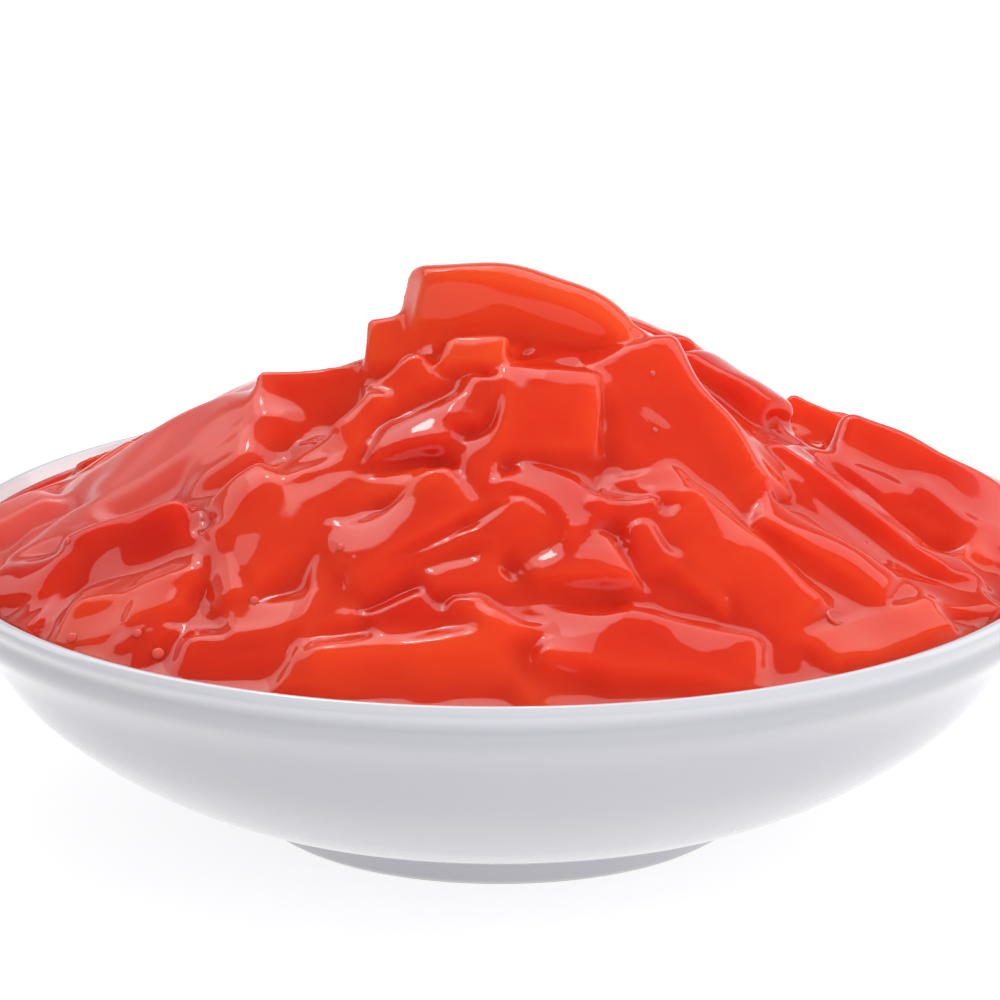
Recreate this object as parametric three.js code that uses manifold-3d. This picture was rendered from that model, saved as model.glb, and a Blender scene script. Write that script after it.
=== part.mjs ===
// A heap of cut red jelly strips, standing in its syrup in a shallow glazed dish with a foot ring.
// Units are millimetres and +Z is up. The origin is at the middle of the foot, on the table.
// The front of the heap faces -Y, and +X is to its right.

import * as THREE from 'three';
import { mergeVertices } from 'three/addons/utils/BufferGeometryUtils.js';
import Module from 'manifold-3d';

const wasm = await Module();
wasm.setup();

// ---- Driving dimensions ----

const RIM_RADIUS = 60;        // outermost point of the dish's lip
const DISH_HEIGHT = 30;       // table to the top of the lip
const WALL = 3.2;             // thickness of the dish's flank
const FOOT_RADIUS = 25.5;     // outer edge of the foot's flat bottom
const FOOT_WIDTH = 3.2;       // width of that flat bottom
const FOOT_HEIGHT = 4.5;      // table to where the foot runs into the flank
const FOOT_RECESS = 2.2;      // hollow under the dish, inside the foot ring
const BOWL_FLOOR = 6.4;       // the bowl's inner face at its middle
const SYRUP_LEVEL = 28.5;     // top of the syrup
const CORE_RADIUS = 53;       // the packed core below the syrup, which the syrup runs round
const HEAP_TOP = 56.8;        // height of the mean mound at its middle, under the topmost strip
const HEAP_SLOPE = 0.56;      // fall of the mound for each mm outwards
const HEAP_ROUNDING = 6;      // radius over which the mound's tip is rounded off
const CORE_DEPTH = 0.9;       // how far the packed core lies below the mean mound
const EDGE_CUT = 0.65;        // chamfer along a strip's edges
const GAP = 0.3;              // clearance between neighbouring sub-parts
const WELD = 0.03;            // detail finer than this is joined up
const TURNS = 48;             // facets round the dish

// ---- Strips that show, laid one by one ----
// Each strip is stated by the middle line of its upper face: where that line starts and ends (x, y)
// and how far each end stands above the mean mound. Then come the strip's width and thickness, the
// tilt of its upper face to the downhill side in degrees, its upward bow and its sideways curve.

const LAID_STRIPS = [
  // name        x1     y1     lift1  x2     y2     lift2  wide  thick tilt  bow   curve
  ['crown',     -8.8,  -2.5,   5.3,  13.5,  -4.5,   2.5,   6.0,  9.5, -14,   2.8,  0.0],
  ['nub',      -14.2,  -3.5,   1.2,  -6.5,  -5.5,  -1.0,   6.5,  7.0,  18,   0.0,  0.0],
  ['under',     -5.8, -12.3,   1.8,   1.0, -12.6,   1.6,   4.5,  6.0,   0,   0.3,  0.0],
  ['brow',       2.0, -16.0,   1.2,  13.6,  -9.0,   1.9,   4.6,  5.0,  -8,   0.3,  0.0],
  ['breast',    -0.2, -20.9,   1.8,  10.2, -19.8,   2.2,  11.6,  7.0,   3,   0.0,  0.0],
  ['shoulder',  13.5,  -9.0,   3.1,  23.0, -28.5,  -1.3,  13.0,  8.0,   9,   0.2,  0.0],
  ['ridge',     15.2,  -3.0,   2.6,  28.3, -21.4,   1.6,   5.0,  7.0, -22,   0.5, -1.0],
  ['hip',       21.0,   6.0,   1.5,  30.0,  -2.0,   2.0,   8.0,  7.0,   0,   0.0,  0.0],
  ['glint',     -3.8, -22.0,   1.8,  -1.4, -16.5,   1.7,   3.4,  4.0,  -8,   0.0,  0.0],
  ['stem',      -1.9, -23.5,   0.9,  -0.6, -33.0,   1.5,   3.4,  5.0,  10,   0.0,  0.6],
  ['cheek',    -12.6, -23.5,   1.6,  -4.6, -21.8,   1.8,   6.0,  6.0,  -9,   0.3,  0.0],
  ['temple',   -13.5, -16.0,   1.4,  -7.5, -13.0,   1.6,   4.0,  5.0,  10,   0.0,  0.0],
  ['tuft',     -16.5, -19.5,   1.2, -12.5, -16.5,   1.6,   3.6,  4.0,   0,   0.0,  0.0],
  ['tendon',    -9.6, -10.5,   1.4,  -6.8, -15.5,   1.2,   2.2,  4.0,   0,   0.0,  0.8],
  ['ledge',    -24.8,  -8.0,   1.1, -13.6,  -8.0,  -3.5,  11.5,  8.0,  23,   0.0,  0.0],
  ['fold',     -22.5, -22.0,   0.9, -14.0, -20.5,   0.9,   5.5,  6.0,  -8,   0.0,  0.0],
  ['sliver',   -20.0, -27.0,   0.8,  -7.0, -28.0,   1.4,   3.0,  4.0, -10,   0.0,  0.4],
  ['plank',    -15.4, -38.0,   1.0,  -4.2, -30.4,   1.7,   7.0,  7.0,  -7,   0.5,  0.0],
  ['rail',     -14.0, -41.5,   0.9,  -3.2, -36.0,   1.0,   2.4,  4.0,   0,   0.0,  0.0],
  ['tread',    -26.5, -41.0,   0.8, -14.5, -43.2,   0.7,   4.5,  5.0, -10,   0.0,  0.0],
  ['peak',     -26.0, -21.0,   1.8, -21.5, -36.0,   0.2,   8.5,  9.0,   0,   0.6,  0.0],
  ['slope',    -18.0, -23.5,   1.4, -16.5, -38.0,  -1.0,   8.5,  6.0,   0,   0.3,  0.0],
  ['fin',      -29.8, -27.0,   1.0, -27.0, -38.5,   0.9,   3.0,  5.0,  30,   0.0,  0.0],
  ['lens',     -45.0, -21.5,   1.2, -31.5, -26.5,   1.8,   9.0,  7.0,  20,   0.4,  0.0],
  ['band',     -42.5, -29.0,   0.5, -30.5, -31.5,   0.9,   4.4,  4.0, -12,   0.0,  0.0],
  ['tablet',   -36.8, -34.0,   0.9, -31.0, -34.8,   1.2,   6.0,  6.0,  -4,   0.0,  0.0],
  ['tile',     -44.0, -33.0,   0.6, -37.6, -34.6,   0.6,   6.0,  6.0,   8,   0.0,  0.0],
  ['chip',     -37.2, -40.5,   0.6, -33.2, -38.6,   0.6,   3.4,  3.0,   0,   0.0,  0.0],
  ['sill',     -32.2, -43.5,   0.6, -21.0, -46.2,   0.3,   6.5,  6.0,   4,   0.0,  0.0],
  ['pillow',   -53.0, -18.0,   0.8, -44.5, -24.0,   0.6,   8.0,  7.0,  10,   0.6,  0.0],
  ['bolster',  -56.0,  -1.0,   2.4, -47.5,   0.0,   2.0,   8.0,  8.0,  10,   0.0,  0.0],
  ['sheet',    -46.0,   6.0,  -1.6, -22.0,   7.0,  -0.5,  17.0,  8.0,   0,   0.6,  0.0],
  ['veil',     -43.0,  -6.5,   0.8, -25.0,  -5.5,   1.2,  13.0,  7.0,   6,   0.6,  0.0],
  ['dapple',   -31.5, -14.5,   0.4, -25.5, -14.0,   1.0,   6.0,  5.0,  -2,   0.0,  0.0],
  ['shelf',    -51.0, -11.0,   0.8, -41.0, -13.0,   0.5,   8.0,  7.0,  -6,   0.3,  0.0],
  ['hook',       1.4, -28.8,   1.5,   9.2, -35.2,   2.1,   6.0,  4.5, -10,   0.2, -1.3],
  ['swag',       9.4, -31.0,   0.9,  15.6, -30.6,   1.6,   3.0,  4.0,  -6,  -0.5,  0.0],
  ['wedge',     13.4, -27.2,   0.4,  19.2, -25.6,   1.4,   4.2,  4.0, -10,   0.0,  0.0],
  ['shard',     -1.6, -37.4,   0.9,   4.0, -34.0,   1.5,   5.0,  5.0,   0,   0.4,  0.0],
  ['pad',        2.6, -39.6,   0.9,  12.4, -37.8,   1.7,   6.8,  7.0, -12,   0.3,  0.0],
  ['drop',      13.6, -33.0,   1.2,  16.2, -37.6,   1.0,   3.0,  5.0,   5,   0.3,  0.0],
  ['blade',     18.4, -35.0,   0.9,  22.4, -40.4,   0.8,   2.8,  4.0, -10,   0.0,  0.0],
  ['slide',     17.5, -29.0,   0.6,  31.0, -39.0,   0.3,   9.0,  6.0,   8,   0.6,  0.0],
  ['beam',      26.5, -25.5,   1.5,  39.6, -29.4,   0.8,   6.0,  9.0,  -8,   0.3,  0.0],
  ['stripe',    29.8, -10.5,   1.4,  45.6, -19.5,   0.9,   5.5,  7.0, -14,   0.3,  0.0],
  ['broad',     35.5,  -4.0,   0.9,  54.5,  -5.0,   3.2,  14.0,  9.0,  26,   0.5,  0.0],
  ['broad_end', 49.0, -11.0,   1.0,  56.0,  -8.0,   1.6,   7.0,  7.0,  10,   0.0,  0.0],
  ['raft',      31.6, -43.2,   0.7,  44.8, -31.0,   1.6,   4.8,  4.0, -10,   0.0,  0.0],
  ['crumb_a',   42.0, -28.0,   0.6,  50.5, -22.5,   0.9,   5.0,  5.0,  -8,   0.0,  0.0],
  ['crumb_b',   44.6, -21.0,   1.2,  49.2, -18.0,   1.0,   4.0,  4.0,  -8,   0.0,  0.0],
  ['brick',      3.6, -48.6,   1.4,  26.0, -46.8,   0.9,   9.0,  8.0,  -7,   0.6,  0.0],
  ['curl',      -2.8, -44.2,   1.0,   2.2, -48.8,   1.8,   3.0,  4.0, -10,   0.5,  0.8],
  ['crumb_c',   -7.0, -41.4,   0.8,   0.0, -39.8,   0.9,   3.6,  4.0,  -4,   0.0,  0.0],
  ['crumb_d',  -12.5, -45.6,   0.6,  -7.0, -44.2,   0.9,   4.0,  4.0,   0,   0.0,  0.0],
  ['cube',      -5.2, -45.4,   1.0,  -2.6, -45.6,   1.0,   3.6,  4.0,  24,   0.0,  0.0],
  ['kerb',     -19.2, -50.3,   0.8,   1.0, -51.3,   0.2,   7.5,  8.0,  34,   0.3,  0.0],
];

// ---- Where the heap departs from the mean mound ----
// Each row: how far it rises, the place (x, y) where it does so most, and its reach along X and Y.

const UNEVENNESS = [
  [-10.5, -12.0, 12.0, 12.0, 12.0],   // hollow behind the ledge
  [-2.0, -38.0, 16.0, 20.0, 16.0],    // low far left
  [-4.5, 32.0, 14.0, 7.5, 13.0],      // hollow before the right end
  [4.3, 55.0, 8.0, 11.0, 18.0],       // full right end
  [-4.2, -19.0, -10.0, 7.0, 6.0],     // foot of the ledge
  [-2.2, 43.0, -13.0, 8.0, 5.0],      // trough before the right end
];

// ---- Strips of the far side, laid by a rule ----

const BACK_RINGS = [9, 18, 27, 36, 45, 52];   // distances of their middles from the heap's middle
const BACK_SPACING = 11;                      // distance between them along a ring
const BACK_LENGTH = [13, 22];
const BACK_WIDTH = [6.5, 9.5];
const BACK_THICKNESS = [6, 8];
const BACK_LIFT = [0.2, 2.0];
const BACK_TILT = 22;
const BACK_START = 5;                         // they lie beyond this y, and further back at the sides
const BACK_START_SLOPE = 0.2;
const SEED = 4177;

// ---- Small helpers ----

function randomSource(seed) {
  let state = seed;
  return (low, high) => {
    state = (state * 16807) % 2147483647;
    return low + (high - low) * (state / 2147483647);
  };
}

function moundHeight(radius) {
  return HEAP_TOP - HEAP_SLOPE * (Math.hypot(radius, HEAP_ROUNDING) - HEAP_ROUNDING);
}

function moundNormal(x, y) {
  const fall = HEAP_SLOPE / Math.hypot(x, y, HEAP_ROUNDING);
  return new THREE.Vector3(fall * x, fall * y, 1).normalize();
}

function unevenness(x, y) {
  return UNEVENNESS.reduce((sum, [rise, atX, atY, reachX, reachY]) => (
    sum + rise * Math.exp(-(((x - atX) / reachX) ** 2) - ((y - atY) / reachY) ** 2)
  ), 0);
}

function lathe(profile) {
  const points = profile.map(([radius, height]) => new THREE.Vector2(radius, height));
  return new THREE.LatheGeometry(points, TURNS).rotateX(Math.PI / 2);
}

function profileCurve(points) {
  return new THREE.SplineCurve(points.map(([radius, height]) => new THREE.Vector2(radius, height)));
}

// Turns a closed geometry into a solid for joining and cutting, with its faces pointing out.
function toSolid(geometry) {
  const bare = geometry.clone();
  bare.deleteAttribute('normal');
  bare.deleteAttribute('uv');
  const merged = mergeVertices(bare, 1e-4);
  const triangles = Uint32Array.from(merged.index.array);
  const vertices = Float32Array.from(merged.attributes.position.array);
  if (signedVolume(vertices, triangles) < 0) {
    for (let i = 0; i < triangles.length; i += 3) {
      [triangles[i], triangles[i + 1]] = [triangles[i + 1], triangles[i]];
    }
  }
  return new wasm.Manifold(new wasm.Mesh({ numProp: 3, vertProperties: vertices, triVerts: triangles }));
}

function signedVolume(vertices, triangles) {
  const corner = (index) => new THREE.Vector3().fromArray(vertices, 3 * triangles[index]);
  let sum = 0;
  for (let i = 0; i < triangles.length; i += 3) {
    sum += corner(i).dot(corner(i + 1).cross(corner(i + 2)));
  }
  return sum / 6;
}

function toGeometry(solid) {
  const mesh = solid.getMesh();
  const geometry = new THREE.BufferGeometry();
  geometry.setAttribute('position', new THREE.BufferAttribute(mesh.vertProperties, 3));
  geometry.setIndex(new THREE.BufferAttribute(mesh.triVerts, 1));
  geometry.computeVertexNormals();
  return geometry;
}

// ---- The dish ----

// The outer flank swells from the foot to a soft ridge just under the lip.
const FLANK = [
  [FOOT_RADIUS + 5.3, FOOT_HEIGHT + 0.2],
  [FOOT_RADIUS + 9.8, FOOT_HEIGHT + 1.1],
  [43.5, 9.7],
  [51.2, 15.7],
  [56.2, 22.5],
  [RIM_RADIUS - 0.7, DISH_HEIGHT - 4],
];

// A shallow groove, then the rounded lip and its inner edge.
const LIP = [
  [RIM_RADIUS - 0.5, DISH_HEIGHT - 2],
  [RIM_RADIUS, DISH_HEIGHT - 0.9],
  [RIM_RADIUS - 0.55, DISH_HEIGHT - 0.15],
  [RIM_RADIUS - 1.3, DISH_HEIGHT],
  [RIM_RADIUS - 1.9, DISH_HEIGHT - 0.6],
];

// The flank's line moved inwards by the wall, from the lip down to the flat middle.
function bowlFace(steps) {
  const curve = profileCurve(FLANK);
  const face = curve.getPoints(steps).map((point, i) => {
    const direction = curve.getTangent(i / steps);
    return [point.x - WALL * direction.y, point.y + WALL * direction.x];
  });
  return [...face.reverse(), [FOOT_RADIUS - 5, BOWL_FLOOR], [0, BOWL_FLOOR]];
}

function dishProfile() {
  const footInner = FOOT_RADIUS - FOOT_WIDTH;
  const steps = 9;
  return [
    [0, FOOT_RECESS],
    [footInner - 1.2, FOOT_RECESS],
    [footInner, 0],
    [FOOT_RADIUS, 0],
    [FOOT_RADIUS + 0.6, 0.5],
    [FOOT_RADIUS + 2.9, FOOT_HEIGHT],
    ...profileCurve(FLANK).getPoints(steps).map((point) => [point.x, point.y]),
    ...LIP,
    ...bowlFace(steps),
  ];
}

// The line that contents follow in the bowl, from one radius to another, a gap off its face.
function contentsLine(from, to, steps) {
  const face = bowlFace(48).reverse();
  const heightAt = (radius) => {
    const next = Math.max(1, face.findIndex(([r]) => r >= radius));
    const [r0, z0] = face[next - 1];
    const [r1, z1] = face[next];
    const slope = (z1 - z0) / (r1 - r0);
    return z0 + slope * (radius - r0) + GAP * Math.hypot(1, slope);
  };
  return Array.from({ length: steps + 1 }, (_, i) => {
    const radius = from + ((to - from) * i) / steps;
    return [radius, heightAt(radius)];
  });
}

// ---- The syrup: it fills the bowl round the packed core ----

const SYRUP_RADIUS = RIM_RADIUS - WALL - 0.6;     // where it leaves the bowl's face for the lip
const SYRUP_EDGE = RIM_RADIUS - 3.1;              // where its level meets the lip

function syrupProfile() {
  const inner = CORE_RADIUS + GAP;
  return [
    [inner, SYRUP_LEVEL],
    ...contentsLine(inner, SYRUP_RADIUS, 4),
    [SYRUP_EDGE, SYRUP_LEVEL],
    [inner, SYRUP_LEVEL],
  ];
}

// ---- The heap of jelly ----

// A strip with chamfered upper edges and ends, bent by bow and curve. Its length runs along Z and its
// upper face is towards +Y.
function stripGeometry({ length, width, thickness, bow, curve }) {
  const [x, y, cut] = [width / 2, thickness / 2, EDGE_CUT];
  const section = new THREE.Shape([
    [x, y - cut], [x - cut, y], [cut - x, y], [-x, y - cut], [-x, -y], [x, -y],
  ].map((point) => new THREE.Vector2(...point)));
  const geometry = new THREE.ExtrudeGeometry(section, {
    depth: length - 2 * cut,
    steps: bow === 0 && curve === 0 ? 1 : 2,
    bevelSegments: 1,
    bevelThickness: cut,
    bevelSize: cut,
    bevelOffset: -cut,
  });
  geometry.translate(0, -thickness / 2, cut - length / 2);
  const position = geometry.attributes.position;
  for (let i = 0; i < position.count; i += 1) {
    const bend = 1 - (2 * position.getZ(i) / length) ** 2;
    position.setX(i, position.getX(i) - curve * bend);
    position.setY(i, position.getY(i) + bow * bend);
  }
  return geometry;
}

// Lays a strip so that the middle line of its upper face runs from start to end.
function layStrip({ start, end, width, thickness, tilt, bow, curve }) {
  const middle = start.clone().add(end).multiplyScalar(0.5);
  const along = end.clone().sub(start).normalize();
  const across = moundNormal(middle.x, middle.y).cross(along).normalize();
  const up = along.clone().cross(across);
  const turned = new THREE.Matrix4().makeBasis(across, up, along)
    .multiply(new THREE.Matrix4().makeRotationZ(THREE.MathUtils.degToRad(tilt)))
    .setPosition(middle);
  const length = start.distanceTo(end);
  return stripGeometry({ length, width, thickness, bow, curve }).applyMatrix4(turned);
}

function onMound(x, y, lift) {
  return new THREE.Vector3(x, y, moundHeight(Math.hypot(x, y)) + lift);
}

function laidStrips() {
  return LAID_STRIPS.map(([, x1, y1, lift1, x2, y2, lift2, width, thickness, tilt, bow, curve]) => layStrip({
    start: onMound(x1, y1, lift1),
    end: onMound(x2, y2, lift2),
    width, thickness, tilt, bow, curve,
  }));
}

function backStrips() {
  const random = randomSource(SEED);
  const strips = [];
  for (const ring of BACK_RINGS) {
    const count = Math.round((2 * Math.PI * ring) / BACK_SPACING);
    for (let i = 0; i < count; i += 1) {
      const bearing = (2 * Math.PI * (i + random(-0.25, 0.25))) / count;
      const radius = ring + random(-1.5, 1.5);
      const [x, y] = [radius * Math.cos(bearing), radius * Math.sin(bearing)];
      const heading = random(0, Math.PI);
      const half = random(...BACK_LENGTH) / 2;
      const [dx, dy] = [half * Math.cos(heading), half * Math.sin(heading)];
      const rise = unevenness(x, y);
      const strip = {
        start: onMound(x - dx, y - dy, random(...BACK_LIFT) + rise),
        end: onMound(x + dx, y + dy, random(...BACK_LIFT) + rise),
        width: random(...BACK_WIDTH),
        thickness: random(...BACK_THICKNESS),
        tilt: random(-BACK_TILT, BACK_TILT),
        bow: 0,
        curve: 0,
      };
      if (y > BACK_START + BACK_START_SLOPE * Math.abs(x)) strips.push(layStrip(strip));
    }
  }
  return strips;
}

function coreTop(radius) {
  return moundHeight(radius) - CORE_DEPTH;
}

// The packed core: a turned mound whose top then rises and sinks as the heap does.
function coreGeometry() {
  const steps = 9;
  const top = Array.from({ length: steps + 1 }, (_, i) => {
    const radius = CORE_RADIUS * (1 - i / steps);
    return [radius, coreTop(radius)];
  });
  const geometry = lathe([...contentsLine(0, CORE_RADIUS, 6), ...top]);
  const position = geometry.attributes.position;
  for (let i = 0; i < position.count; i += 1) {
    const [x, y, z] = [position.getX(i), position.getY(i), position.getZ(i)];
    if (z > coreTop(Math.hypot(x, y)) - WELD) position.setZ(i, z + unevenness(x, y));
  }
  return geometry;
}

// The space that jelly may take: the bowl inside the syrup, and all that is above the syrup.
function heapSpaceProfile() {
  const ceiling = HEAP_TOP + 20;
  return [
    ...contentsLine(0, CORE_RADIUS, 6),
    [CORE_RADIUS, SYRUP_LEVEL + GAP],
    [SYRUP_EDGE, SYRUP_LEVEL + GAP],
    [SYRUP_EDGE, ceiling],
    [0, ceiling],
  ];
}

// The core and the strips as one body, cut to its space. Sealed hollows and loose scraps are left out.
function heapGeometry() {
  const strips = [...laidStrips(), ...backStrips()].map(toSolid);
  const whole = wasm.Manifold.union([toSolid(coreGeometry()), ...strips]);
  const fitted = whole.intersect(toSolid(lathe(heapSpaceProfile()))).simplify(WELD);
  const [largest] = fitted.decompose().sort((a, b) => b.volume() - a.volume());
  return toGeometry(largest);
}

// ---- Assembly ----

function subPart(name, geometry, color, roughness) {
  const material = new THREE.MeshStandardMaterial({ color, roughness, metalness: 0, flatShading: true });
  const mesh = new THREE.Mesh(geometry, material);
  mesh.name = name;
  return mesh;
}

const dessert = new THREE.Group();
dessert.add(
  subPart('dish', toGeometry(toSolid(lathe(dishProfile()))), 0xe2e0e8, 0.15),
  subPart('syrup', toGeometry(toSolid(lathe(syrupProfile()))), 0xc4200f, 0.05),
  subPart('jelly_heap', heapGeometry(), 0xdb2c19, 0.08),
);

export default dessert;
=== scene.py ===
"""Looks for a heap of cut red jelly strips in syrup, in a shallow white glazed dish.

Places and sizes of the heap are stated in millimetres and turned into metres where meshes are made.
"""

import math

import bpy
import numpy as np
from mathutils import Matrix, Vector


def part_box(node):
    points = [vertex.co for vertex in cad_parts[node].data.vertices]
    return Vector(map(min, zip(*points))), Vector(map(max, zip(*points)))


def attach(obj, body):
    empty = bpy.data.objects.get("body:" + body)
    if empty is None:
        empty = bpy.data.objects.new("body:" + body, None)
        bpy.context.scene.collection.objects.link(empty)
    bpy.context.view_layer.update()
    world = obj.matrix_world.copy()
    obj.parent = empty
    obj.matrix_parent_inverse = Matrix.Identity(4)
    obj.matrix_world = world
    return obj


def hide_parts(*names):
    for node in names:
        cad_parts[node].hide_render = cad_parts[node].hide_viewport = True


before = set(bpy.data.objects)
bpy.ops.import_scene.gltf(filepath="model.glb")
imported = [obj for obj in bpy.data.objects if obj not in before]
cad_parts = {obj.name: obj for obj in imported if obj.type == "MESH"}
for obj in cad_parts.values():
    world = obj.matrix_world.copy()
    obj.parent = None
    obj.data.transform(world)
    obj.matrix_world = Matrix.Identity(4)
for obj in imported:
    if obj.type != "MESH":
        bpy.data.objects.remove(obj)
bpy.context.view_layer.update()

MM = 0.001
BODY = "root"

# ---- Driving sizes, mm ----

DISH_HIGH = np.array(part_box("dish")[1]) / MM
SYRUP_HIGH = np.array(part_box("syrup")[1]) / MM
RIM_RADIUS = float(DISH_HIGH[0])
DISH_HEIGHT = float(DISH_HIGH[2])
SYRUP_LEVEL = float(SYRUP_HIGH[2])
SYRUP_EDGE = float(SYRUP_HIGH[0])
WALL = 3.2                 # thickness of the dish's flank
FOOT_RADIUS = 25.5         # outer edge of the foot's flat bottom
FOOT_WIDTH = 3.2
FOOT_HEIGHT = 4.5
FOOT_RECESS = 2.2
BOWL_FLOOR = 6.4
HEAP_TOP = 56.8            # mean mound at its middle, under the topmost strip
HEAP_SLOPE = 0.56
HEAP_ROUNDING = 6.0
CORE_DEPTH_TOP = 0.7       # packed core below the mean mound, at the middle
CORE_DEPTH_RIM = 0.2       # and near the rim, where syrup stands between the strips

# ---- Strips that show ----
# The middle line of each strip's upper face: its two ends (x, y) and their lift above the mean mound,
# then width, thickness, tilt to the downhill side in degrees, upward bow and sideways curve.

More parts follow.
